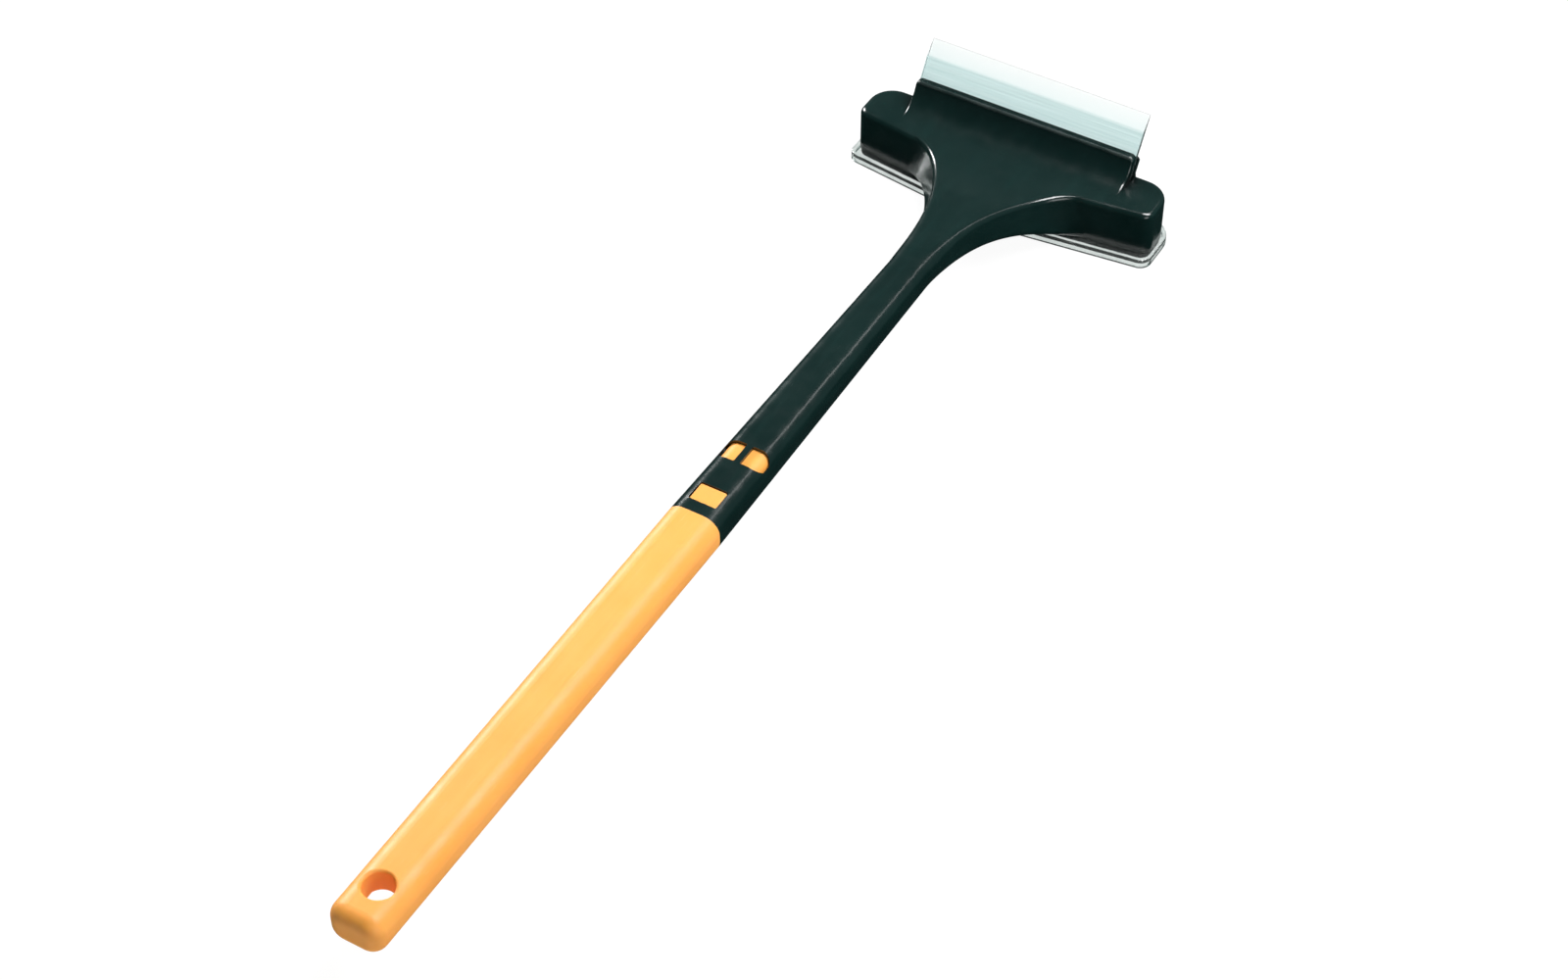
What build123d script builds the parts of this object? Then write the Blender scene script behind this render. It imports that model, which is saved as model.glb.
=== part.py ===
from build123d import *
import os
from math import cos, radians, sin

# Windshield ice scraper, millimetres. While it is drawn, y runs from the end of the
# handle (y = 0) to the blade, x runs along the blade and z is up from the handle axis.
# Every piece is moved as it is written out, so the origin ends up under the middle of
# the object, level with its lowest face.

# Driving sizes of the handle and the shaft
HANDLE_W = 26.0
HANDLE_H = 20.0
HANDLE_R = 8.0
HANDLE_END_R = 6.5
JOINT_Y = 250.5
HANG_Y = 19.5
HANG_R = 6.75
HANG_RIM_R = 1.2
HANG_POCKET_R = 9.5
HANG_POCKET_END_Y = 42.0
HANG_POCKET_TOP_Z = -2.0
GRIP_CORE_Y = 47.0
GRIP_CORE_DRAFT_W = 2.4
GRIP_CORE_DRAFT_H = 1.6
GRIP_TAPER_W = 0.6
GRIP_TAPER_H = 0.4

# Plug-in joint between the handle and the shaft
SOCKET_WALL = 2.0
SPIGOT_GAP = 0.15
SPIGOT_LEN = 62.0
SOCKET_LEN = 64.0
SPIGOT_WALL = 2.1
SOCKET_R = 6.0
SPIGOT_R = 5.85
WINDOW_Y = 257.0
WINDOW_LEN = 11.0
WINDOW_W = 14.0
SLOT_Y = 286.0
SLOT_LEN = 12.0
SLOT_REACH = 11.6
SLOT_RIB_W = 3.0
SLOT_END_R = 4.6
OPENING_Z = (4.0, 14.0)

# Shaft and head
SHAFT_END_Y = 440.0
SHAFT_END_W = 20.4
SHAFT_END_H = 16.2
SHAFT_END_R = 6.4
WING_X = 80.4
WING_REAR_Y = 534.5
WING_FRONT_Y = 560.0
WING_REAR_R = 6.0
WING_FRONT_R = 13.0
HEAD_REAR_Y = 524.0
HEAD_FRONT_Y = 561.0
HEAD_TOP_Z = 0.0
HEAD_BOTTOM_Z = -24.0
HEAD_WALL = 2.6
HEAD_ROOF = 3.2
HEAD_FRONT_WALL_Y = 554.6
HEAD_EDGE_R = 3.0
RIB_X = (-57.0, -29.0, 29.0, 57.0)
RIB_T = 1.6
RIB_SHORT = 3.0
POCKET_TOP_Z = -2.0
NECK_POCKETS = ((1.0, 7.0, 462.0, 517.0), (8.6, 15.0, 490.0, 518.0), (16.6, 21.6, 508.0, 519.0))

# Blade and its seat, measured on a plane that leans forward
BLADE_LEAN = 58.5
BLADE_W = 118.4
BLADE_T = 3.0
BLADE_EXPOSED = 19.5
BLADE_SEATED = 14.0
BLADE_BEVEL = 9.0
BLADE_TIP_T = 0.9
LIP_Y = 560.3
LIP_Z = 12.3
LIP_LAND = 4.4
LIP_HALF_W = 59.6
LIP_CORNER_R = 2.6
LIP_EDGE_R = 1.3
RAMP_START_Y = 541.0
JAW_SHELF = 5.3
BAR_BOTTOM_Z = -17.4
BAR_FRONT_TOP_Z = -1.5
BAR_LIP_T = 3.4
FIT_GAP = 0.03

# Clear edge and base plate under the head
EDGE_SIDE_OUT = 2.2
EDGE_REAR_OUT = 4.8
EDGE_FRONT_OUT = 1.6
EDGE_IN = 5.0
EDGE_T = 2.4
EDGE_DROP = 2.2
EDGE_DROP_W = 1.8
PLATE_T = 2.4
PLATE_INSET = 0.6

# Fasteners
SCREW_R = 1.5
SCREW_HEAD_R = 2.9
SCREW_HEAD_T = 1.8
SCREW_GAP = 0.04
BOSS_R = 3.8
CLAMP_BOSS_Y = 551.0
CLAMP_SCREW_X = (-42.0, 0.0, 42.0)
CLAMP_SCREW_Z = -10.0
BASE_SCREW_HEAD_T = 1.2
BASE_SCREW_SINK = 1.3
BASE_SCREWS = [(side * x, y) for side in (-1, 1) for x, y in ((70.0, 546.5), (45.0, 541.5), (15.0, 539.0))]

# Lock button and its spring
BUTTON_GAP = 0.3
BUTTON_RISE = 1.3
BUTTON_FLANGE_T = 1.8
BUTTON_FLANGE_OUT = 1.6
BUTTON_PLAY = 0.12
SPRING_R = 2.9
SPRING_WIRE_R = 0.35
SPRING_TURNS = 5

LEAN_Y = cos(radians(BLADE_LEAN))
LEAN_Z = sin(radians(BLADE_LEAN))
GRIP_CORE_END_Y = JOINT_Y + SPIGOT_LEN + 1
BUTTON_Y = WINDOW_Y + WINDOW_LEN / 2
UPRIGHT = Rot(0, 0, 0)
FROM_FRONT = Rot(90, 0, 0)
TOTAL_LEN = LIP_Y + BLADE_EXPOSED * LEAN_Y + BLADE_T * LEAN_Z
LOWEST_Z = HEAD_BOTTOM_Z - EDGE_T - PLATE_T


def seat_point(along, out):
    """A point (y, z) on the blade seat: along runs down from the lip, out runs forward."""
    return (LIP_Y - along * LEAN_Y + out * LEAN_Z, LIP_Z - along * LEAN_Z - out * LEAN_Y)


def section(y, width, height, radius):
    """A rounded rectangle across the handle axis at y."""
    return Plane.XZ.offset(-y) * RectangleRounded(width, height, radius)


def box_between(x0, x1, y0, y1, z0, z1):
    """A box given by its limits on each axis."""
    middle = Pos((x0 + x1) / 2, (y0 + y1) / 2, (z0 + z1) / 2)
    return middle * Box(x1 - x0, y1 - y0, z1 - z0)


def side_profile(points, half_width):
    """A closed (y, z) outline stretched across x, the same distance to both sides."""
    outline = Polyline([(0, y, z) for y, z in points], close=True)
    return extrude(make_face(outline), half_width, dir=(1, 0, 0), both=True)


def shaft_size(y):
    """Width, height and corner radius of the tapering black shaft at y."""
    t = (y - JOINT_Y) / (SHAFT_END_Y - JOINT_Y)
    width = HANDLE_W + t * (SHAFT_END_W - HANDLE_W)
    height = HANDLE_H + t * (SHAFT_END_H - HANDLE_H)
    radius = HANDLE_R + t * (SHAFT_END_R - HANDLE_R)
    return width, height, radius


def head_plan(grow=0.0, side_out=0.0, rear_out=0.0, front_out=0.0):
    """The outline of the head seen from above, its sides pushed out and then all of it grown."""
    wing_x = WING_X + side_out
    rear_y = WING_REAR_Y - rear_out
    front_y = WING_FRONT_Y + front_out
    corners = [
        (-wing_x, rear_y),
        (0, HEAD_REAR_Y - rear_out),
        (wing_x, rear_y),
        (wing_x, front_y),
        (0, HEAD_FRONT_Y + front_out),
        (-wing_x, front_y),
    ]
    outline = make_face(Polyline(corners, close=True))
    rear = [v for v in outline.vertices() if abs(v.Y - rear_y) < 0.1]
    outline = fillet(rear, WING_REAR_R)
    front = [v for v in outline.vertices() if abs(v.Y - front_y) < 0.1 and abs(v.X) > 70]
    outline = fillet(front, WING_FRONT_R)
    return offset(outline, amount=grow, kind=Kind.ARC) if grow else outline


def edge_plan(grow=0.0):
    """The outline of the clear edge: it stands out most on the handle's side of the head."""
    return head_plan(grow, EDGE_SIDE_OUT, EDGE_REAR_OUT, EDGE_FRONT_OUT)


def prism(face, z0, z1):
    """A flat outline lifted to z0 and made solid up to z1."""
    return extrude(Pos(0, 0, z0) * face, z1 - z0, dir=(0, 0, 1))


def neck_section(y, top_x, bottom_x, top_z, bottom_z, top_r, bottom_r):
    """A section of the neck: wider at the bottom than at the top, with round corners."""
    corners = [(-top_x, top_z), (top_x, top_z), (bottom_x, bottom_z), (-bottom_x, bottom_z)]
    face = make_face(Polyline(corners, close=True))
    upper = [v for v in face.vertices() if v.Y > top_z - 0.01]
    face = fillet(upper, top_r)
    lower = [v for v in face.vertices() if v.Y < bottom_z + 0.01]
    face = fillet(lower, bottom_r)
    return Plane.XZ.offset(-y) * face


# The neck flares from the shaft until it runs into the rear wall of the head: y, half
# width above and below, height above and below the axis, corner radius above and below
NECK = (
    (SHAFT_END_Y, 10.2, 10.2, 8.1, -8.1, SHAFT_END_R, SHAFT_END_R),
    (462.0, 10.8, 12.0, 7.4, -8.6, 5.4, 5.2),
    (480.0, 12.9, 16.0, 6.1, -9.8, 3.6, 4.0),
    (496.0, 17.4, 22.4, 4.0, -11.8, 3.2, 3.0),
    (510.0, 23.6, 30.2, 1.6, -15.6, 3.2, 2.4),
    (522.0, 32.0, 38.4, 0.2, -20.6, 3.2, 2.2),
    (531.0, 47.0, 51.0, 0.0, -23.0, 3.2, 2.0),
)


def neck():
    below = box_between(-WING_X, WING_X, SHAFT_END_Y, HEAD_FRONT_Y, 2 * HEAD_BOTTOM_Z, HEAD_BOTTOM_Z)
    return loft([neck_section(*row) for row in NECK]) - below


def head_box():
    """The block that carries the blade: a flat top with softened edges."""
    block = prism(head_plan(), HEAD_BOTTOM_Z, HEAD_TOP_Z)
    top_edges = block.faces().sort_by(Axis.Z)[-1].edges()
    return fillet(top_edges, HEAD_EDGE_R)


def jaw():
    """The raised lip that backs the blade: the top of the head sweeps up into it from behind."""
    foot = (0, RAMP_START_Y, HEAD_TOP_Z)
    ramp_top = (0, LIP_Y - LIP_LAND, LIP_Z)
    sunk = HEAD_TOP_Z - HEAD_ROOF
    sweep_up = TangentArc(foot, ramp_top, tangent=(0, 1, 0))
    rest = Polyline(ramp_top, (0, LIP_Y, LIP_Z), (0, LIP_Y, sunk), (0, RAMP_START_Y, sunk), foot)
    body = extrude(make_face([*sweep_up.edges(), *rest.edges()]), LIP_HALF_W, dir=(1, 0, 0), both=True)
    corners = [e for e in body.edges() if abs(e.center().Z - LIP_Z) < 0.01 and abs(e.center().X) > 1]
    body = fillet(corners, LIP_CORNER_R)
    rear = [e for e in body.edges() if abs(e.center().Z - LIP_Z) < 0.01 and abs(e.center().X) < 1]
    return fillet(rear, LIP_EDGE_R)


def seat_cut():
    """Room in front of the jaw for the blade and for the bar that clamps it."""
    foot = seat_point(BLADE_SEATED, 0)
    shelf = seat_point(BLADE_SEATED, JAW_SHELF)
    above = seat_point(-3, 0)
    far_y = HEAD_FRONT_Y + 20
    floor_z = BAR_BOTTOM_Z - 0.2
    outline = [foot, above, (far_y, above[1]), (far_y, floor_z), (shelf[0], floor_z), shelf]
    return side_profile(outline, LIP_HALF_W + 0.4)


def head_cavity():
    """The hollow inside the head, with its ribs and screw bosses left standing."""
    cavity = prism(head_plan(-HEAD_WALL), HEAD_BOTTOM_Z - 1, HEAD_TOP_Z - HEAD_ROOF)
    cavity -= box_between(-WING_X, WING_X, HEAD_FRONT_WALL_Y, HEAD_FRONT_Y + 9, HEAD_BOTTOM_Z - 2, 2)
    for x in RIB_X:
        cavity -= box_between(
            x - RIB_T / 2, x + RIB_T / 2, HEAD_REAR_Y - 9, HEAD_FRONT_Y, HEAD_BOTTOM_Z + RIB_SHORT, 2
        )
    for x, y in BASE_SCREWS:
        cavity -= Pos(x, y, HEAD_BOTTOM_Z / 2) * Cylinder(BOSS_R, 60)
    for x in CLAMP_SCREW_X:
        cavity -= Pos(x, CLAMP_BOSS_Y, CLAMP_SCREW_Z) * FROM_FRONT * Cylinder(BOSS_R, 9)
    return cavity


def neck_pockets():
    """Pockets in the underside of the neck that keep its walls even."""
    pockets = []
    for x0, x1, y0, y1 in NECK_POCKETS:
        pockets.append(box_between(x0, x1, y0, y1, -40, POCKET_TOP_Z))
        pockets.append(box_between(-x1, -x0, y0, y1, -40, POCKET_TOP_Z))
    return pockets


def slot_opening(side):
    """One half of the cross slot in the socket: square at the rib, round at the outer end."""
    low, high = sorted((side * SLOT_RIB_W / 2, side * SLOT_REACH))
    opening = box_between(low, high, SLOT_Y, SLOT_Y + SLOT_LEN, *OPENING_Z)
    outer = [e for e in opening.edges().filter_by(Axis.Z) if abs(e.center().X) > SLOT_REACH / 2]
    opening = fillet(outer, SLOT_END_R)
    inner = [e for e in opening.edges().filter_by(Axis.Z) if abs(e.center().X) < SLOT_RIB_W]
    return fillet(inner, 0.8)


def socket_bore():
    """The room that takes the reduced end of the handle."""
    width = HANDLE_W - 2 * SOCKET_WALL
    height = HANDLE_H - 2 * SOCKET_WALL
    mouth = section(JOINT_Y - 1, width, height, SOCKET_R)
    end = section(JOINT_Y + SOCKET_LEN, width, height, SOCKET_R)
    return loft([mouth, end])


def shaft_core():
    """The narrower hollow that lightens the rest of the shaft."""
    start = section(JOINT_Y + SOCKET_LEN - 1, 15.0, 10.6, 4.0)
    end = section(SHAFT_END_Y - 8, 12.4, 8.8, 3.2)
    return loft([start, end])


def screw_hole(x, y, z, length, turn):
    return Pos(x, y, z) * turn * Cylinder(SCREW_R + SCREW_GAP, length)


def head_shell():
    """Black moulding: socket, tapering shaft, flared neck and hollow head in one."""
    shaft_ends = [section(y, *shaft_size(y)) for y in (JOINT_Y, SHAFT_END_Y)]
    body = loft(shaft_ends) + neck() + head_box() + jaw()
    for x, y in BASE_SCREWS:
        body += Pos(x, y, HEAD_BOTTOM_Z - EDGE_T / 2) * Cylinder(BOSS_R, EDGE_T)
    body -= seat_cut()
    body -= head_cavity()
    for pocket in neck_pockets():
        body -= pocket
    body -= socket_bore()
    body -= shaft_core()
    window = box_between(-WINDOW_W / 2, WINDOW_W / 2, WINDOW_Y, WINDOW_Y + WINDOW_LEN, *OPENING_Z)
    body -= fillet(window.edges().filter_by(Axis.Z), 1.0)
    for side in (-1, 1):
        body -= slot_opening(side)
    for x, y in BASE_SCREWS:
        body -= screw_hole(x, y, HEAD_BOTTOM_Z, 24, UPRIGHT)
    for x in CLAMP_SCREW_X:
        body -= screw_hole(x, CLAMP_BOSS_Y, CLAMP_SCREW_Z, 16, FROM_FRONT)
    return body


def spigot_size():
    """Width and height of the reduced end of the handle."""
    width = HANDLE_W - 2 * SOCKET_WALL - 2 * SPIGOT_GAP
    height = HANDLE_H - 2 * SOCKET_WALL - 2 * SPIGOT_GAP
    return width, height


def is_hang_rim(edge):
    """True for an edge on one of the two rims of the hanging hole."""
    size = edge.bounding_box().size
    off = Vector(edge.center().X, edge.center().Y - HANG_Y)
    flat = size.Z < 2 and size.Y > 1
    return off.length < HANG_R and flat and max(size.X, size.Y) < 2.2 * HANG_R


def hang_pocket():
    """The hollow on the underside that lets a hook or a cord lie inside the grip."""
    rear = Pos(0, HANG_Y, 0) * Circle(HANG_POCKET_R)
    front = Pos(0, HANG_POCKET_END_Y - HANG_POCKET_R, 0) * Circle(HANG_POCKET_R)
    outline = make_hull((rear + front).edges())
    return prism(outline, -HANDLE_H, HANG_POCKET_TOP_Z)


def grip_body():
    """The outside of the grip, a little slimmer at its rounded free end."""
    free_end = section(0, HANDLE_W - GRIP_TAPER_W, HANDLE_H - GRIP_TAPER_H, HANDLE_R - 0.2)
    joint_end = section(JOINT_Y, HANDLE_W, HANDLE_H, HANDLE_R)
    grip = loft([free_end, joint_end])
    return fillet(grip.faces().sort_by(Axis.Y)[0].edges(), HANDLE_END_R)


def grip_core():
    """The hollow inside the grip, which widens towards the plug-in end."""
    width, height = spigot_size()
    inside_w = width - 2 * SPIGOT_WALL
    inside_h = height - 2 * SPIGOT_WALL
    small = section(GRIP_CORE_Y, inside_w - GRIP_CORE_DRAFT_W, inside_h - GRIP_CORE_DRAFT_H, 2.4)
    large = section(GRIP_CORE_END_Y, inside_w, inside_h, 1.6)
    return loft([small, large])


def handle_grip():
    """Orange moulding: hollow grip with a hanging hole and a reduced end that plugs in."""
    grip = grip_body() - Pos(0, HANG_Y, 0) * Cylinder(HANG_R, 2 * HANDLE_H)
    grip = fillet([e for e in grip.edges() if is_hang_rim(e)], HANG_RIM_R)
    grip -= hang_pocket()
    tip = JOINT_Y + SPIGOT_LEN
    spigot = loft([section(y, *spigot_size(), SPIGOT_R) for y in (JOINT_Y - 2, tip)])
    grip += chamfer(spigot.faces().sort_by(Axis.Y)[-1].edges(), 0.7)
    grip -= grip_core()
    open_w, open_l = button_opening(BUTTON_GAP / 2)
    return grip - Pos(0, BUTTON_Y, HANDLE_H / 2 - SOCKET_WALL) * Box(open_w, open_l, 10)


def button_opening(gap):
    """Width and length of the button, or of its opening when a gap is given."""
    return WINDOW_W - 2 * BUTTON_GAP + 2 * gap, WINDOW_LEN - 2 * BUTTON_GAP + 2 * gap


def inner_height_at_button():
    """Height of the space inside the handle where the button sits."""
    full = spigot_size()[1] - 2 * SPIGOT_WALL
    along = (WINDOW_Y - GRIP_CORE_Y) / (GRIP_CORE_END_Y - GRIP_CORE_Y)
    return full - GRIP_CORE_DRAFT_H * (1 - along)


def lock_button():
    """Orange button that stands in the window and holds the handle in the socket."""
    width, length = button_opening(0)
    top = HANDLE_H / 2 - SOCKET_WALL + BUTTON_RISE
    under_wall = inner_height_at_button() / 2 - BUTTON_PLAY
    key_low = under_wall - 0.5
    key = Pos(0, BUTTON_Y, (top + key_low) / 2) * Box(width, length, top - key_low)
    key = fillet(key.edges().filter_by(Axis.Z), 0.9)
    key = fillet(key.faces().sort_by(Axis.Z)[-1].edges(), 0.5)
    flange = Pos(0, BUTTON_Y, under_wall - BUTTON_FLANGE_T / 2) * Box(
        width + 0.8, length + 2 * BUTTON_FLANGE_OUT, BUTTON_FLANGE_T
    )
    pin = Pos(0, BUTTON_Y, under_wall - BUTTON_FLANGE_T - 1.2) * Cylinder(SPRING_R - 1.0, 2.6)
    return key + flange + pin


def button_spring():
    """Steel coil spring under the button."""
    floor_z = 0.15 - inner_height_at_button() / 2
    top_z = inner_height_at_button() / 2 - BUTTON_PLAY - BUTTON_FLANGE_T - 0.1
    height = top_z - floor_z - 2 * SPRING_WIRE_R
    coil = Helix(pitch=height / SPRING_TURNS, height=height, radius=SPRING_R)
    wire = Plane(origin=coil @ 0, z_dir=coil % 0) * Circle(SPRING_WIRE_R)
    return Pos(0, BUTTON_Y, floor_z + SPRING_WIRE_R) * sweep(wire, path=coil)


def ice_blade():
    """Clear blade: flat below, bevelled on its rear face toward the edge."""
    outline = [
        seat_point(BLADE_SEATED, FIT_GAP),
        seat_point(BLADE_BEVEL - BLADE_EXPOSED, FIT_GAP),
        seat_point(-BLADE_EXPOSED, BLADE_T - BLADE_TIP_T),
        seat_point(-BLADE_EXPOSED, BLADE_T),
        seat_point(BLADE_SEATED, BLADE_T),
    ]
    blade = side_profile(outline, BLADE_W / 2)
    tips = [e for e in blade.edges() if abs(e.center().X) > BLADE_W / 2 - 0.1 and e.length < 1.0]
    return fillet(tips, 0.8)


def blade_clamp_bar():
    """Black bar across the front that presses the blade onto the jaw."""
    rear_y, shelf_z = seat_point(BLADE_SEATED, JAW_SHELF)
    rear_y += FIT_GAP
    outline = [
        (rear_y, shelf_z),
        seat_point(BLADE_SEATED - FIT_GAP, BLADE_T + FIT_GAP),
        seat_point(1.6, BLADE_T + FIT_GAP),
        seat_point(3.2, BLADE_T + BAR_LIP_T),
        seat_point(10.0, BLADE_T + BAR_LIP_T),
        (HEAD_FRONT_Y, BAR_FRONT_TOP_Z),
        (HEAD_FRONT_Y, BAR_BOTTOM_Z),
        (rear_y, BAR_BOTTOM_Z),
    ]
    bar = side_profile(outline, LIP_HALF_W)
    for x in CLAMP_SCREW_X:
        bar -= screw_hole(x, HEAD_FRONT_Y, CLAMP_SCREW_Z, 20, FROM_FRONT)
    return bar


def screw(head_t, length):
    """A pan-head screw along +Z, its cross-slotted head below z = 0."""
    head = Pos(0, 0, -head_t / 2) * Cylinder(SCREW_HEAD_R, head_t)
    head = fillet(head.faces().sort_by(Axis.Z)[0].edges(), head_t * 0.55)
    body = head + Pos(0, 0, length / 2) * Cylinder(SCREW_R, length)
    body = chamfer(body.faces().sort_by(Axis.Z)[-1].edges(), 0.9)
    reach = SCREW_HEAD_R * 1.25
    cross = Box(reach, 0.8, 1.7) + Box(0.8, reach, 1.7)
    return body - Pos(0, 0, -head_t) * cross


def blade_clamp_screws():
    one = FROM_FRONT * screw(SCREW_HEAD_T, 11.5)
    return Compound(children=[Pos(x, HEAD_FRONT_Y, CLAMP_SCREW_Z) * one for x in CLAMP_SCREW_X])


def edge_lip():
    """Clear edge that runs all round under the head and turns down at its rim."""
    top = HEAD_BOTTOM_Z - FIT_GAP
    low = HEAD_BOTTOM_Z - EDGE_T
    outer = edge_plan()
    flange = prism(outer, low, top) - prism(head_plan(-EDGE_IN), low - 1, top + 1)
    inside_rim = edge_plan(-EDGE_DROP_W)
    rim = prism(outer, low - EDGE_DROP, low) - prism(inside_rim, low - EDGE_DROP - 1, low)
    edge = flange + rim
    upper = edge.faces().sort_by(Axis.Z)[-1].outer_wire().edges()
    return fillet(upper, 0.9)


def base_plate():
    """Black plate that closes the head from below and holds the clear edge."""
    top = HEAD_BOTTOM_Z - EDGE_T - FIT_GAP
    plate = prism(head_plan(-PLATE_INSET), LOWEST_Z, top)
    plate = fillet(plate.faces().sort_by(Axis.Z)[0].edges(), 1.0)
    for x, y in BASE_SCREWS:
        plate -= screw_hole(x, y, LOWEST_Z, 20, UPRIGHT)
        plate -= Pos(x, y, LOWEST_Z) * Cylinder(SCREW_HEAD_R + 0.4, 2 * BASE_SCREW_SINK)
    return plate


def base_plate_screws():
    one = screw(BASE_SCREW_HEAD_T, 10.5)
    return Compound(children=[Pos(x, y, LOWEST_Z + BASE_SCREW_SINK) * one for x, y in BASE_SCREWS])


PIECES = {
    "handle_grip": handle_grip,
    "lock_button": lock_button,
    "button_spring": button_spring,
    "head_shell": head_shell,
    "ice_blade": ice_blade,
    "blade_clamp_bar": blade_clamp_bar,
    "blade_clamp_screws": blade_clamp_screws,
    "edge_lip": edge_lip,
    "base_plate": base_plate,
    "base_plate_screws": base_plate_screws,
}

os.makedirs("parts", exist_ok=True)
for name, make in PIECES.items():
    placed = Pos(0, -TOTAL_LEN / 2, -LOWEST_Z) * make()
    export_step(placed, f"parts/{name}.step")
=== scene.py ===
import math

import bmesh
import bpy
from mathutils import Matrix, Vector


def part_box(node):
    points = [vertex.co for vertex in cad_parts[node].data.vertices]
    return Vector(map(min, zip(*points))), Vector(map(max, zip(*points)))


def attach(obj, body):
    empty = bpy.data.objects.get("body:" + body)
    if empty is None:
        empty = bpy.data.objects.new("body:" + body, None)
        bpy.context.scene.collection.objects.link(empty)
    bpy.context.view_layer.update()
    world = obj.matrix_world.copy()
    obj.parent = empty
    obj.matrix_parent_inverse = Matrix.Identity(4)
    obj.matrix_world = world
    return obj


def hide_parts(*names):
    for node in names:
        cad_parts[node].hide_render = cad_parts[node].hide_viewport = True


# Looks of the windshield ice scraper. Lengths are metres, and MM turns millimetres into them.
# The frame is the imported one: y runs from the handle's end to the blade, z is up.
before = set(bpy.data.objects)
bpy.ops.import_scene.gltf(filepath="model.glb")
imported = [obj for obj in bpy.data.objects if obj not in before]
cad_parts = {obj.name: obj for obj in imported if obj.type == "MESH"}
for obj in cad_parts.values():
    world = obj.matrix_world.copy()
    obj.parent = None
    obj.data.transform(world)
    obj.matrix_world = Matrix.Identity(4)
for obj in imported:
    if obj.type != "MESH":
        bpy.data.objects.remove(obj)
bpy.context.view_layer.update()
MM = 0.001

# Blade: its lean from the horizontal, and in millimetres its thickness, its edge's thickness, the
# lengths of its bevel, of what stands out of the lip and of what sits inside it, the gap to the
# seat behind it, and the rounding of every edge sharper than BLADE_SHARP degrees
BLADE_LEAN = math.radians(58.5)
BLADE_UP = (math.cos(BLADE_LEAN), math.sin(BLADE_LEAN))
BLADE_T = 3.0
BLADE_EDGE_T = 0.9
BLADE_BEVEL = 9.0
BLADE_EXPOSED = 19.5
BLADE_SEATED = 14.0
BLADE_LENGTH = BLADE_EXPOSED + BLADE_SEATED
BLADE_GAP = 0.03
BLADE_ROUNDING = 0.22
BLADE_SHARP = 50

# The blade's colour changes over LOW_FADE millimetres above the lip, and over BEVEL_BLEND
# millimetres to both sides of the line where the bevel starts
LOW_FADE = 4.0
BEVEL_BLEND = 0.8

# The small cuts on the blade's edge, and the softened corner where its bevel meets the rear face:
# how far the corner reaches to both sides, and how far out it starts and passes. Millimetres
REAR_CUT = 0.12
FRONT_CUT = 0.15
CORNER_REACH = 0.5
CORNER_START_OUT = 0.15
CORNER_OUT = 0.045

# Grooves along the blade, in millimetres: how many, the first one's place down from the edge,
# their spacing, depth, and half width at the mouth and at the floor
GROOVES = 5
GROOVE_FIRST = 11.0
GROOVE_STEP = 1.9
GROOVE_DEPTH = 0.1
GROOVE_HALF_MOUTH = 0.28
GROOVE_HALF_FLOOR = 0.12

# The painted highlight band along the lip's rear top edge, in millimetres: how far its middle lies
# behind the front of the head, its half width, its fade behind and in front, how far down it is full, and
# its fade below that
LIP_BACK = 5.1
LIP_HIGHLIGHT_HALF = 0.5
LIP_HIGHLIGHT_FADE_REAR = 0.7
LIP_HIGHLIGHT_FADE_FRONT = 0.9
LIP_HIGHLIGHT_DOWN = 0.9
LIP_HIGHLIGHT_FADE_DOWN = 0.7

# Colours, as linear red, green and blue
ORANGE_DEEP = (0.90, 0.355, 0.060)
ORANGE_LIGHT = (0.94, 0.385, 0.075)
ORANGE_FLOW = (0.95, 0.42, 0.10)
ORANGE_WORN = (0.98, 0.56, 0.24)
BLACK_DEEP = (0.0010, 0.0085, 0.0078)
BLACK_LIGHT = (0.0030, 0.0125, 0.0115)
BLACK_FLOW = (0.0048, 0.0200, 0.0184)
# The worn black, also used as the painted highlight along the lip's rear top edge
BLACK_WORN_AND_HIGHLIGHT = (0.034, 0.046, 0.044)
# Painted shade, laid on the black plastic in its hollows
BLACK_PAINTED_SHADE = (0.0, 0.0006, 0.0005)
BEVEL_LOW = (0.86, 0.95, 0.94)
BEVEL_HIGH = (0.97, 1.0, 0.99)
BLADE_DARK = (0.53, 0.71, 0.70)
BLADE_PALE = (0.66, 0.83, 0.82)
BLADE_LOW = (0.50, 0.66, 0.65)
RIM_DARK = (0.64, 0.70, 0.68)
RIM_PALE = (0.80, 0.85, 0.83)
STEEL_DARK = (0.496, 0.496, 0.480)
STEEL_LIGHT = (0.62, 0.62, 0.60)
STEEL_DULL = (0.33, 0.31, 0.28)
FLOOR_DARK = (0.07, 0.07, 0.07)
FLOOR_LIGHT = (0.08, 0.08, 0.08)
WHITE = (1.0, 1.0, 1.0)

# How far red, green and blue light spreads inside the orange plastic, as shares of the red's reach
ORANGE_BLEED = (1.0, 0.35, 0.08)

# Roughness from a material's smoothest to its roughest patches, and how much wear adds to it
ORANGE_ROUGH = (0.44, 0.54)
ORANGE_WEAR_ROUGH = 0.12
BLACK_ROUGH = (0.16, 0.24)
BLACK_WEAR_ROUGH = 0.18
STEEL_ROUGH = (0.24, 0.45)
BLADE_HAZE = 0.10
RIM_HAZE = 0.05
HAZE_SPREAD = 0.12

# How strongly the worn colour shows on rubbed edges and handling marks, and as the painted lip highlight
ORANGE_EDGE_WEAR = 0.6
ORANGE_MARK_WEAR = 0.45
BLACK_EDGE_WEAR = 0.3
BLACK_MARK_WEAR = 0.35
LIP_HIGHLIGHT = 0.75

# How strongly light bends in each plastic
MOULDED_IOR = 1.5
CLEAR_IOR = 1.49

# The span that most of a noise's values lie in, and the direction a shift moves its pattern in
USUAL = (0.3, 0.7)
SHIFT_WAY = (1.0, 0.7, 1.3)

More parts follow.
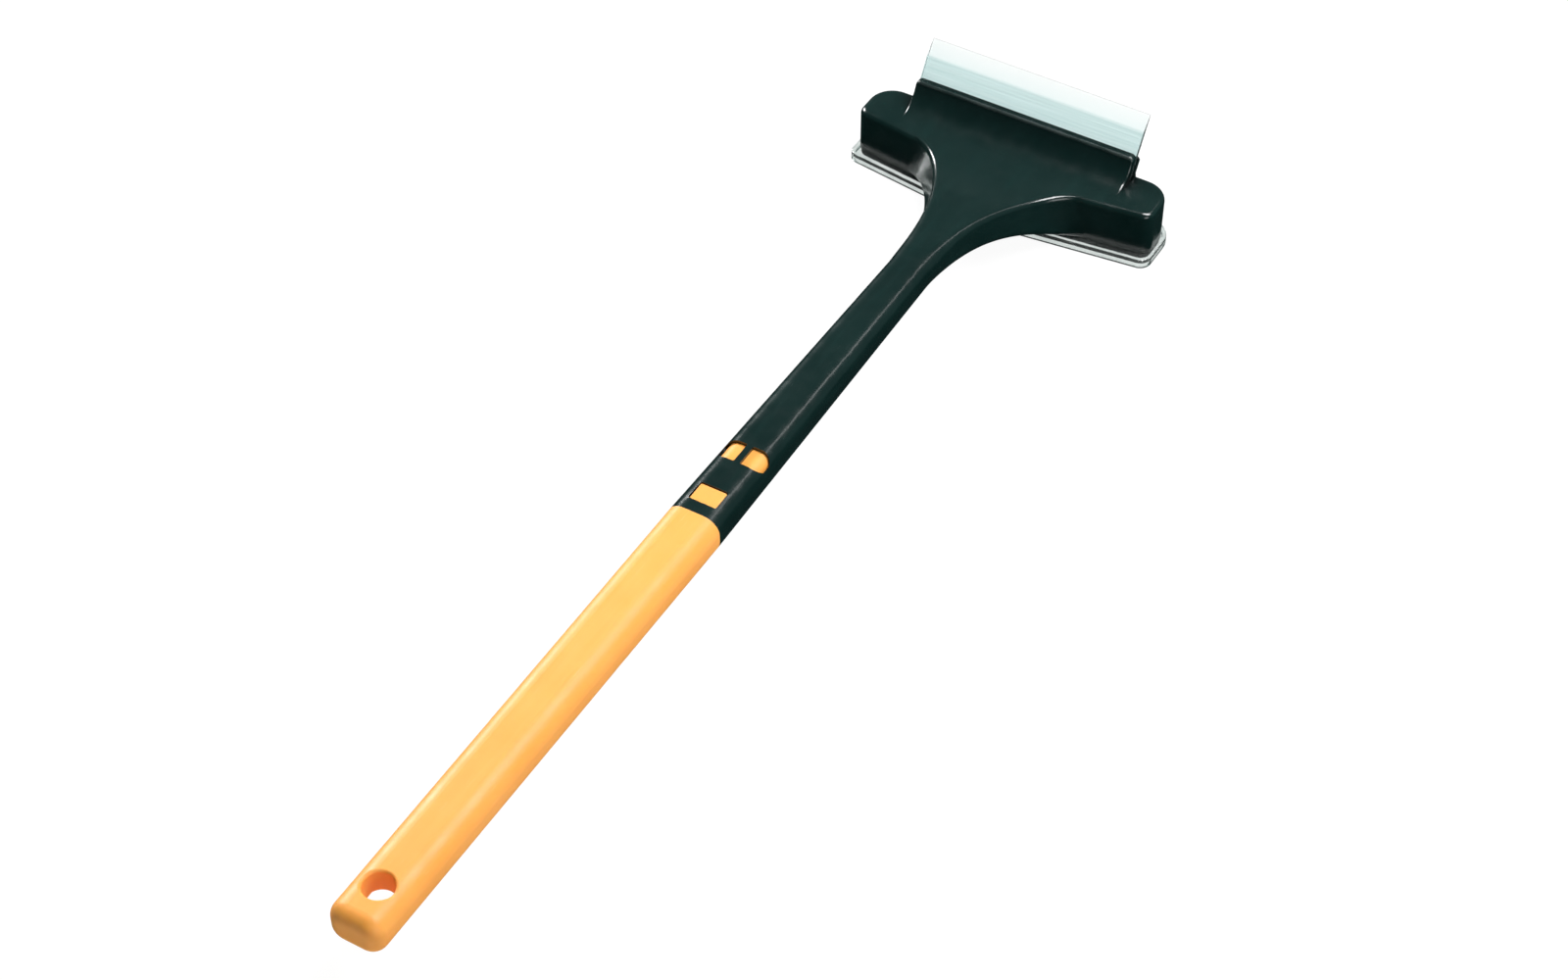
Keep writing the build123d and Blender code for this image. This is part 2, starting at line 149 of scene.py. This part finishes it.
# Studio. The floor's size is in metres, its drop below the scraper in millimetres
FLOOR_SIZE = 8
FLOOR_DROP = 0.2
FLOOR_GLOW = 0.95
WORLD_TINT = (0.62, 1.0, 0.96, 1.0)
WORLD_STRENGTH = 0.17

# Camera: its place in metres, its tilt from straight down and its turn in degrees, and its lens
# and sensor in millimetres
CAMERA_PLACE = (0.5091, -0.8230, 1.0116)
CAMERA_TILT = 44.31
CAMERA_TURN = 30.53
CAMERA_LENS = 72.3
CAMERA_SENSOR = 36


class Look:
    """A material being made: its node tree, its main shader and the piece's own coordinates."""

    def __init__(self, name):
        self.material = bpy.data.materials.new(name)
        self.material.use_nodes = True
        self.tree = self.material.node_tree
        self.tree.nodes.clear()
        self.shader = self.node("ShaderNodeBsdfPrincipled")
        output = self.node("ShaderNodeOutputMaterial")
        self.tree.links.new(self.shader.outputs["BSDF"], output.inputs["Surface"])
        self.place = self.node("ShaderNodeTexCoord").outputs["Object"]

    def node(self, kind, **settings):
        """A new node with some of its settings changed."""
        made = self.tree.nodes.new(kind)
        for name, value in settings.items():
            setattr(made, name, value)
        return made

    def feed(self, target, value):
        """Joins a node's output to target, or sets a plain value."""
        if isinstance(value, bpy.types.NodeSocket):
            self.tree.links.new(value, target)
        else:
            target.default_value = value

    def set(self, **values):
        """Feeds the main shader, with _ for a space in an input's name."""
        for name, value in values.items():
            self.feed(self.shader.inputs[name.replace("_", " ")], value)

    def noise(self, size, detail=2.0, rough=0.5, warp=0.0, shift=0.0):
        """Cloudy noise from 0 to 1. size is its grain in millimetres, one number or one for each axis."""
        sizes = size if isinstance(size, tuple) else (size, size, size)
        mapping = self.node("ShaderNodeMapping")
        self.feed(mapping.inputs["Vector"], self.place)
        mapping.inputs["Scale"].default_value = [1 / (s * MM) for s in sizes]
        mapping.inputs["Location"].default_value = [shift * way for way in SHIFT_WAY]
        noise = self.node("ShaderNodeTexNoise")
        self.feed(noise.inputs["Vector"], mapping.outputs["Vector"])
        noise.inputs["Scale"].default_value = 1.0
        noise.inputs["Detail"].default_value = detail
        noise.inputs["Roughness"].default_value = rough
        noise.inputs["Distortion"].default_value = warp
        return noise.outputs["Fac"]

    def level(self, value, span, out=(0.0, 1.0)):
        """Stretches a span of value to the span out, and holds it at out's ends beyond them."""
        node = self.node("ShaderNodeMapRange", clamp=True)
        self.feed(node.inputs["Value"], value)
        for name, given in zip(("From Min", "From Max", "To Min", "To Max"), (*span, *out)):
            self.feed(node.inputs[name], given)
        return node.outputs["Result"]

    def maths(self, operation, a, b, clamp=False):
        """One operation on two values, each a number or a node's output."""
        node = self.node("ShaderNodeMath", operation=operation, use_clamp=clamp)
        self.feed(node.inputs[0], a)
        self.feed(node.inputs[1], b)
        return node.outputs[0]

    def times(self, a, b):
        """The product of a and b."""
        return self.maths("MULTIPLY", a, b)

    def plus(self, a, b, clamp=False):
        """The sum of a and b, held between 0 and 1 if clamp is set."""
        return self.maths("ADD", a, b, clamp)

    def colour(self, share, a, b):
        """A colour between a and b, each a colour or a node's output."""
        node = self.node("ShaderNodeMix", data_type="RGBA")
        self.feed(node.inputs["Factor"], share)
        for socket, value in ((node.inputs[6], a), (node.inputs[7], b)):
            self.feed(socket, (*value, 1.0) if isinstance(value, tuple) else value)
        return node.outputs[2]

    def bump(self, height, depth, over=None):
        """Relief of depth millimetres, laid over an earlier relief if one is given."""
        node = self.node("ShaderNodeBump")
        node.inputs["Strength"].default_value = 1.0
        node.inputs["Distance"].default_value = depth * MM
        self.feed(node.inputs["Height"], height)
        if over is not None:
            self.feed(node.inputs["Normal"], over)
        return node.outputs["Normal"]

    def edges(self, radius):
        """0 on open faces, rising towards 1 on edges sharper than radius millimetres.

        It is read from the cosine between the true normal and one rounded over that radius.
        """
        soft = self.node("ShaderNodeBevel", samples=4)
        soft.inputs["Radius"].default_value = radius * MM
        true = self.node("ShaderNodeNewGeometry")
        dot = self.node("ShaderNodeVectorMath", operation="DOT_PRODUCT")
        self.feed(dot.inputs[0], soft.outputs["Normal"])
        self.feed(dot.inputs[1], true.outputs["Normal"])
        return self.level(dot.outputs["Value"], (0.995, 0.93))

    def painted_shade_in_hollows(self, reach):
        """Painted shade: 0 on open faces, rising towards 1 in hollows closed in within reach millimetres.

        It is read from the share of the sky that is open from each point.
        """
        open_sky = self.node("ShaderNodeAmbientOcclusion", samples=8)
        open_sky.inputs["Distance"].default_value = reach * MM
        return self.level(open_sky.outputs["AO"], (0.68, 0.985), (0.95, 0.0))

    def scratches(self, across, along, shift):
        """Fine marks that run along y: 0 to 1, mostly 0."""
        return self.level(self.noise((across, along, across), rough=0.6, shift=shift), (0.66, 0.74))

    def patches(self, size, span, shift=0.0):
        """Soft patches, size millimetres across: 0 where the noise is below the span, 1 above it."""
        return self.level(self.noise(size, detail=3.0, shift=shift), span)

    def handled(self, size):
        """The areas that hands and ice touch most, size millimetres across."""
        return self.level(self.noise(size), (0.45, 0.65))

    def relief(self, size, depth, grain_size, grain_depth, shift=0.0):
        """Slow waves of a moulded face with a fine grain over them, sizes and depths in millimetres."""
        grain = self.bump(self.noise(grain_size, rough=0.6), grain_depth)
        return self.bump(self.noise(size, shift=shift), depth, grain)


def orange_plastic(name):
    """Satin orange moulding with a fine grain, slow gloss changes and light handling marks."""
    look = Look(name)
    cloud = look.noise(34, detail=3.0, rough=0.55)
    flow = look.noise((5, 70, 5), warp=0.3, shift=3.1)
    body = look.colour(look.level(cloud, USUAL), ORANGE_DEEP, ORANGE_LIGHT)
    body = look.colour(look.level(flow, (0.45, 0.75), (0.0, 0.35)), body, ORANGE_FLOW)
    worn = look.times(look.edges(0.9), look.patches(2.2, (0.42, 0.62)))
    marks = look.times(look.scratches(across=0.45, along=16, shift=7.7), look.handled(22))
    wear = look.plus(look.times(worn, ORANGE_EDGE_WEAR), look.times(marks, ORANGE_MARK_WEAR), clamp=True)
    gloss = look.level(look.noise(9, detail=3.0), USUAL, ORANGE_ROUGH)
    look.set(Base_Color=look.colour(wear, body, ORANGE_WORN))
    look.set(Roughness=look.plus(gloss, look.times(wear, ORANGE_WEAR_ROUGH)))
    look.set(Normal=look.relief((7, 26, 7), depth=0.10, grain_size=0.38, grain_depth=0.018))
    look.set(IOR=MOULDED_IOR, Specular_IOR_Level=0.5, Subsurface_Weight=0.12, Subsurface_Scale=0.003)
    look.shader.inputs["Subsurface Radius"].default_value = ORANGE_BLEED
    return look.material


def lip_painted_highlight(look):
    """Painted highlight: 1 along the lip's rear top edge above the ramp, and 0 elsewhere."""
    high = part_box("head_shell")[1]
    place = look.node("ShaderNodeSeparateXYZ")
    look.feed(place.inputs[0], look.place)
    rear = high.y - (LIP_BACK + LIP_HIGHLIGHT_HALF) * MM
    front = high.y - (LIP_BACK - LIP_HIGHLIGHT_HALF) * MM
    foot = high.z - LIP_HIGHLIGHT_DOWN * MM
    behind = look.level(place.outputs["Y"], (rear - LIP_HIGHLIGHT_FADE_REAR * MM, rear))
    ahead = look.level(place.outputs["Y"], (front, front + LIP_HIGHLIGHT_FADE_FRONT * MM), (1.0, 0.0))
    top = look.level(place.outputs["Z"], (foot - LIP_HIGHLIGHT_FADE_DOWN * MM, foot))
    patchy = look.level(look.noise((16, 2, 2), detail=3.0), (0.35, 0.6), (0.35, 1.0))
    return look.times(look.times(look.times(behind, ahead), top), patchy)


def black_plastic(name, sheen=0.75, shift=0.0, lip=False):
    """Satin black moulding with a cool cast: fine grain, flow marks, scratches, rubbed edges and
    painted shade in hollows.

    shift moves the pattern, so that no two pieces share it, and lip adds a painted highlight on the lip.
    """
    look = Look(name)
    cloud = look.noise(28, detail=3.0, rough=0.55, shift=shift)
    flow = look.noise((4, 40, 4), detail=3.0, warp=0.4, shift=shift + 1.7)
    body = look.colour(look.level(cloud, USUAL), BLACK_DEEP, BLACK_LIGHT)
    body = look.colour(look.level(flow, (0.5, 0.8), (0.0, 0.4)), body, BLACK_FLOW)
    worn = look.times(look.edges(0.7), look.patches(1.8, (0.45, 0.65), shift))
    marks = look.times(look.scratches(across=0.4, along=11, shift=shift + 5.3), look.handled(26))
    wear = look.plus(look.times(worn, BLACK_EDGE_WEAR), look.times(marks, BLACK_MARK_WEAR), clamp=True)
    if lip:
        # The lip's painted highlight is laid in with the wear, in the same lighter colour
        wear = look.plus(wear, look.times(lip_painted_highlight(look), LIP_HIGHLIGHT), clamp=True)
    body = look.colour(wear, body, BLACK_WORN_AND_HIGHLIGHT)
    gloss = look.level(look.noise(8, detail=3.0, shift=shift), USUAL, BLACK_ROUGH)
    # Painted shade: darker in hollows, by how little of the sky each point sees
    look.set(Base_Color=look.colour(look.painted_shade_in_hollows(12), body, BLACK_PAINTED_SHADE))
    look.set(Roughness=look.plus(gloss, look.times(wear, BLACK_WEAR_ROUGH)))
    look.set(Normal=look.relief((8, 22, 8), 0.06, grain_size=0.34, grain_depth=0.012, shift=shift))
    look.set(IOR=MOULDED_IOR, Specular_IOR_Level=sheen)
    return look.material


def clear_plastic(look, body, haze):
    """Clear moulding: the body colour, fine lengthwise drawing marks and hazy handling marks."""
    drawn = look.noise((60, 1.1, 1.1), detail=3.0, rough=0.6)
    hazy = look.level(drawn, (0.4, 0.7), (haze, haze + HAZE_SPREAD))
    smudges = look.level(look.noise(14, detail=3.0), (0.4, 0.7), (0.0, 0.05))
    bleached = look.level(drawn, (0.35, 0.7), (0.0, 0.16))
    look.set(Base_Color=look.colour(bleached, body, WHITE), Roughness=look.plus(hazy, smudges))
    look.set(Normal=look.bump(drawn, 0.03, over=look.bump(look.noise(5), 0.03)))
    look.set(IOR=CLEAR_IOR, Transmission_Weight=0.95, Specular_IOR_Level=0.5)
    return look.material


def blade_plastic(name):
    """The blade's plastic: tinted and streaky where it is thick, almost colourless on the bevel."""
    look = Look(name)
    reach = look.node("ShaderNodeVectorMath", operation="DOT_PRODUCT")
    look.feed(reach.inputs[0], look.place)
    reach.inputs[1].default_value = (0, *BLADE_UP)
    height = reach.outputs["Value"]
    tip = BLADE_TIP.y * BLADE_UP[0] + BLADE_TIP.z * BLADE_UP[1]
    bevel_foot = tip - BLADE_BEVEL * MM
    blade_foot = tip - BLADE_EXPOSED * MM
    bevel = look.colour(look.level(height, (bevel_foot, tip)), BEVEL_LOW, BEVEL_HIGH)
    streaks = look.noise((46, 0.9, 0.9), detail=3.0, rough=0.6, shift=2.3)
    band = look.colour(look.level(streaks, (0.36, 0.66)), BLADE_DARK, BLADE_PALE)
    low_down = look.level(height, (blade_foot, blade_foot + LOW_FADE * MM), (0.5, 0.0))
    band = look.colour(low_down, band, BLADE_LOW)
    blend = (bevel_foot - BEVEL_BLEND * MM, bevel_foot + BEVEL_BLEND * MM)
    thick = look.level(height, blend, (1.0, 0.0))
    return clear_plastic(look, look.colour(thick, bevel, band), BLADE_HAZE)


def edge_plastic(name):
    """The greyer clear plastic of the edge under the head."""
    look = Look(name)
    cloud = look.level(look.noise(11, detail=3.0), (0.35, 0.65))
    return clear_plastic(look, look.colour(cloud, RIM_DARK, RIM_PALE), RIM_HAZE)


def plated_steel(name):
    """Zinc plated steel: small crystals and a few dull patches."""
    look = Look(name)
    crystals = look.noise(0.5, detail=3.0, rough=0.6)
    patches = look.noise(2.6, detail=3.0)
    body = look.colour(look.level(crystals, (0.35, 0.7)), STEEL_DARK, STEEL_LIGHT)
    body = look.colour(look.level(patches, (0.55, 0.75), (0.0, 0.5)), body, STEEL_DULL)
    look.set(Base_Color=body, Metallic=1.0, Normal=look.bump(crystals, 0.012))
    look.set(Roughness=look.level(patches, USUAL, STEEL_ROUGH))
    return look.material


def paint(node, material):
    """Gives a CAD node one material."""
    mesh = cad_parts[node].data
    mesh.materials.clear()
    mesh.materials.append(material)


def blade_tip():
    """The point of the rear face's plane that is level with the blade's edge, from the CAD node's box."""
    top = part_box("ice_blade")[1]
    forward = BLADE_T * MM * BLADE_UP[1]
    drop = (BLADE_T - BLADE_EDGE_T) * MM * BLADE_UP[0]
    return Vector((top.x, top.y - forward, top.z + drop))


BLADE_TIP = blade_tip()


def blade_point(down, out):
    """A point (y, z) of the blade, from millimetres down along its rear face and out to the front."""
    y = BLADE_TIP.y + (-down * BLADE_UP[0] + out * BLADE_UP[1]) * MM
    z = BLADE_TIP.z + (-down * BLADE_UP[1] - out * BLADE_UP[0]) * MM
    return y, z


def blade_outline():
    """The blade's section: edge, bevel, a grooved band, the seated part and the flat front face."""
    edge_out = BLADE_T - BLADE_EDGE_T
    floor = BLADE_GAP + GROOVE_DEPTH
    rear = [(0.0, edge_out + REAR_CUT), (REAR_CUT, edge_out)]
    rear += [(BLADE_BEVEL - CORNER_REACH, CORNER_START_OUT), (BLADE_BEVEL, CORNER_OUT)]
    rear.append((BLADE_BEVEL + CORNER_REACH, BLADE_GAP))
    for groove in range(GROOVES):
        middle = GROOVE_FIRST + GROOVE_STEP * groove
        rear.append((middle - GROOVE_HALF_MOUTH, BLADE_GAP))
        rear.append((middle - GROOVE_HALF_FLOOR, floor))
        rear.append((middle + GROOVE_HALF_FLOOR, floor))
        rear.append((middle + GROOVE_HALF_MOUTH, BLADE_GAP))
    front = [(BLADE_LENGTH, BLADE_T), (FRONT_CUT, BLADE_T), (0.0, BLADE_T - FRONT_CUT)]
    return [blade_point(*p) for p in rear + [(BLADE_LENGTH, BLADE_GAP)] + front]


def prism_piece(name, outline, half_width):
    """A solid with the (y, z) outline, stretched across x to both sides."""
    mesh = bmesh.new()
    sides = [[mesh.verts.new((x, y, z)) for y, z in outline] for x in (-half_width, half_width)]
    mesh.faces.new(sides[0])
    mesh.faces.new(sides[1][::-1])
    count = len(outline)
    for i in range(count):
        j = (i + 1) % count
        mesh.faces.new((sides[0][j], sides[0][i], sides[1][i], sides[1][j]))
    bmesh.ops.recalc_face_normals(mesh, faces=mesh.faces)
    data = bpy.data.meshes.new(name)
    mesh.to_mesh(data)
    mesh.free()
    piece = bpy.data.objects.new(name, data)
    bpy.context.scene.collection.objects.link(piece)
    return piece


def make_blade():
    """The grooved and bevelled blade, shown in place of the CAD's plain one."""
    half_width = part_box("ice_blade")[1].x
    piece = prism_piece("blade_plate", blade_outline(), half_width)
    soft = piece.modifiers.new("edges", "BEVEL")
    soft.width = BLADE_ROUNDING * MM
    soft.segments = 2
    soft.limit_method = "ANGLE"
    soft.angle_limit = math.radians(BLADE_SHARP)
    piece.data.materials.append(blade_plastic("clear_blade"))
    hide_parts("ice_blade")
    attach(piece, "head")


def paint_cad_nodes():
    """Every CAD node but the blade keeps its own mesh, with a better material."""
    paint("handle_grip", orange_plastic("orange_plastic"))
    paint("lock_button", orange_plastic("orange_button"))
    paint("button_spring", plated_steel("spring_steel"))
    paint("head_shell", black_plastic("black_plastic", lip=True))
    paint("blade_clamp_bar", black_plastic("black_bar", shift=4.0))
    paint("base_plate", black_plastic("black_base", sheen=0.5, shift=8.0))
    paint("blade_clamp_screws", plated_steel("screw_steel"))
    paint("base_plate_screws", plated_steel("base_screw_steel"))
    paint("edge_lip", edge_plastic("clear_edge"))


def make_floor():
    """A white floor that glows, so that nothing throws a shadow and the clear pieces are lit."""
    bpy.ops.mesh.primitive_plane_add(size=FLOOR_SIZE, location=(0, 0, -FLOOR_DROP * MM))
    floor = bpy.context.object
    floor.name = "floor"
    floor.visible_glossy = False
    look = Look("floor_paper")
    cloud = look.level(look.noise(400), USUAL)
    look.set(Base_Color=look.colour(cloud, FLOOR_DARK, FLOOR_LIGHT))
    look.set(Roughness=0.8, Specular_IOR_Level=0.0)
    look.set(Emission_Color=(*WHITE, 1.0), Emission_Strength=FLOOR_GLOW)
    floor.data.materials.append(look.material)


def area_light(name, place, target, size, power):
    """A lamp of size width and height at place, facing target."""
    data = bpy.data.lights.new(name, "AREA")
    data.shape = "RECTANGLE"
    data.size, data.size_y = size
    data.energy = power
    light = bpy.data.objects.new(name, data)
    bpy.context.scene.collection.objects.link(light)
    light.location = place
    light.rotation_euler = (Vector(target) - Vector(place)).to_track_quat("-Z", "Y").to_euler()
    return light


def strip_light(name, start, finish, target, width, power):
    """A long narrow light from start to finish that faces target."""
    start, finish = Vector(start), Vector(finish)
    along = (finish - start).normalized()
    middle = (start + finish) / 2
    back = (middle - Vector(target)).normalized()
    across = along.cross(back).normalized()
    light = area_light(name, middle, target, (width, (finish - start).length), power)
    light.rotation_euler = Matrix((across, along, across.cross(along))).transposed().to_euler()


def sky_share(tree, direction, axis, low, high, least):
    """How much of the sky's light comes from a direction: least below low on that axis, 1 above high."""
    ramp = tree.nodes.new("ShaderNodeMapRange")
    ramp.interpolation_type = "SMOOTHSTEP"
    for name, value in (("From Min", low), ("From Max", high), ("To Min", least), ("To Max", 1.0)):
        ramp.inputs[name].default_value = value
    tree.links.new(direction.outputs[axis], ramp.inputs["Value"])
    return ramp.outputs["Result"]


def multiply(tree, a, b):
    """The product of a node's output and another output or a plain number."""
    product = tree.nodes.new("ShaderNodeMath")
    product.operation = "MULTIPLY"
    tree.links.new(a, product.inputs[0])
    if isinstance(b, float):
        product.inputs[1].default_value = b
    else:
        tree.links.new(b, product.inputs[1])
    return product.outputs[0]


def make_sky():
    """A dim, cool room that is darker in front of the scraper and below it."""
    world = bpy.data.worlds.new("studio")
    bpy.context.scene.world = world
    world.use_nodes = True
    tree = world.node_tree
    direction = tree.nodes.new("ShaderNodeSeparateXYZ")
    tree.links.new(tree.nodes.new("ShaderNodeTexCoord").outputs["Generated"], direction.inputs[0])
    front = sky_share(tree, direction, "Y", low=-0.45, high=0.30, least=0.35)
    below = sky_share(tree, direction, "Z", low=-0.20, high=0.10, least=0.15)
    strength = multiply(tree, multiply(tree, front, below), WORLD_STRENGTH)
    background = tree.nodes["Background"]
    tree.links.new(strength, background.inputs["Strength"])
    background.inputs["Color"].default_value = WORLD_TINT


def make_lights():
    """A low key from the left rear, a broad overhead, a weak fill and a line along the shaft."""
    area_light("key", place=(-1.88, 0.86, 0.98), target=(0, 0, 0), size=(0.7, 0.7), power=50)
    strip_light("overhead", start=(0.0, 0.31, 1.20), finish=(0.82, 0.33, 0.96),
                target=(0.0, 0.20, 0.03), width=0.46, power=19)
    area_light("fill", place=(1.60, -1.10, 0.62), target=(0.0, -0.05, 0.0), size=(1.2, 0.8), power=9)
    strip_light("shaft_line", start=(0.35, 0.72, 1.05), finish=(0.42, 1.10, 0.90),
                target=(0.0, 0.10, 0.03), width=0.12, power=0.5)


def make_camera():
    """The camera stands above and to the right of the handle's end, as in the picture."""
    data = bpy.data.cameras.new("camera")
    data.sensor_width = CAMERA_SENSOR
    data.lens = CAMERA_LENS
    camera = bpy.data.objects.new("camera", data)
    bpy.context.scene.collection.objects.link(camera)
    camera.location = CAMERA_PLACE
    camera.rotation_euler = (math.radians(CAMERA_TILT), 0, math.radians(CAMERA_TURN))
    bpy.context.scene.camera = camera


def set_colour():
    """Plain display colours, so that the floor stays white."""
    scene = bpy.context.scene
    scene.view_settings.view_transform = "Standard"
    scene.view_settings.look = "None"


paint_cad_nodes()
make_blade()
make_floor()
make_sky()
make_lights()
make_camera()
set_colour()
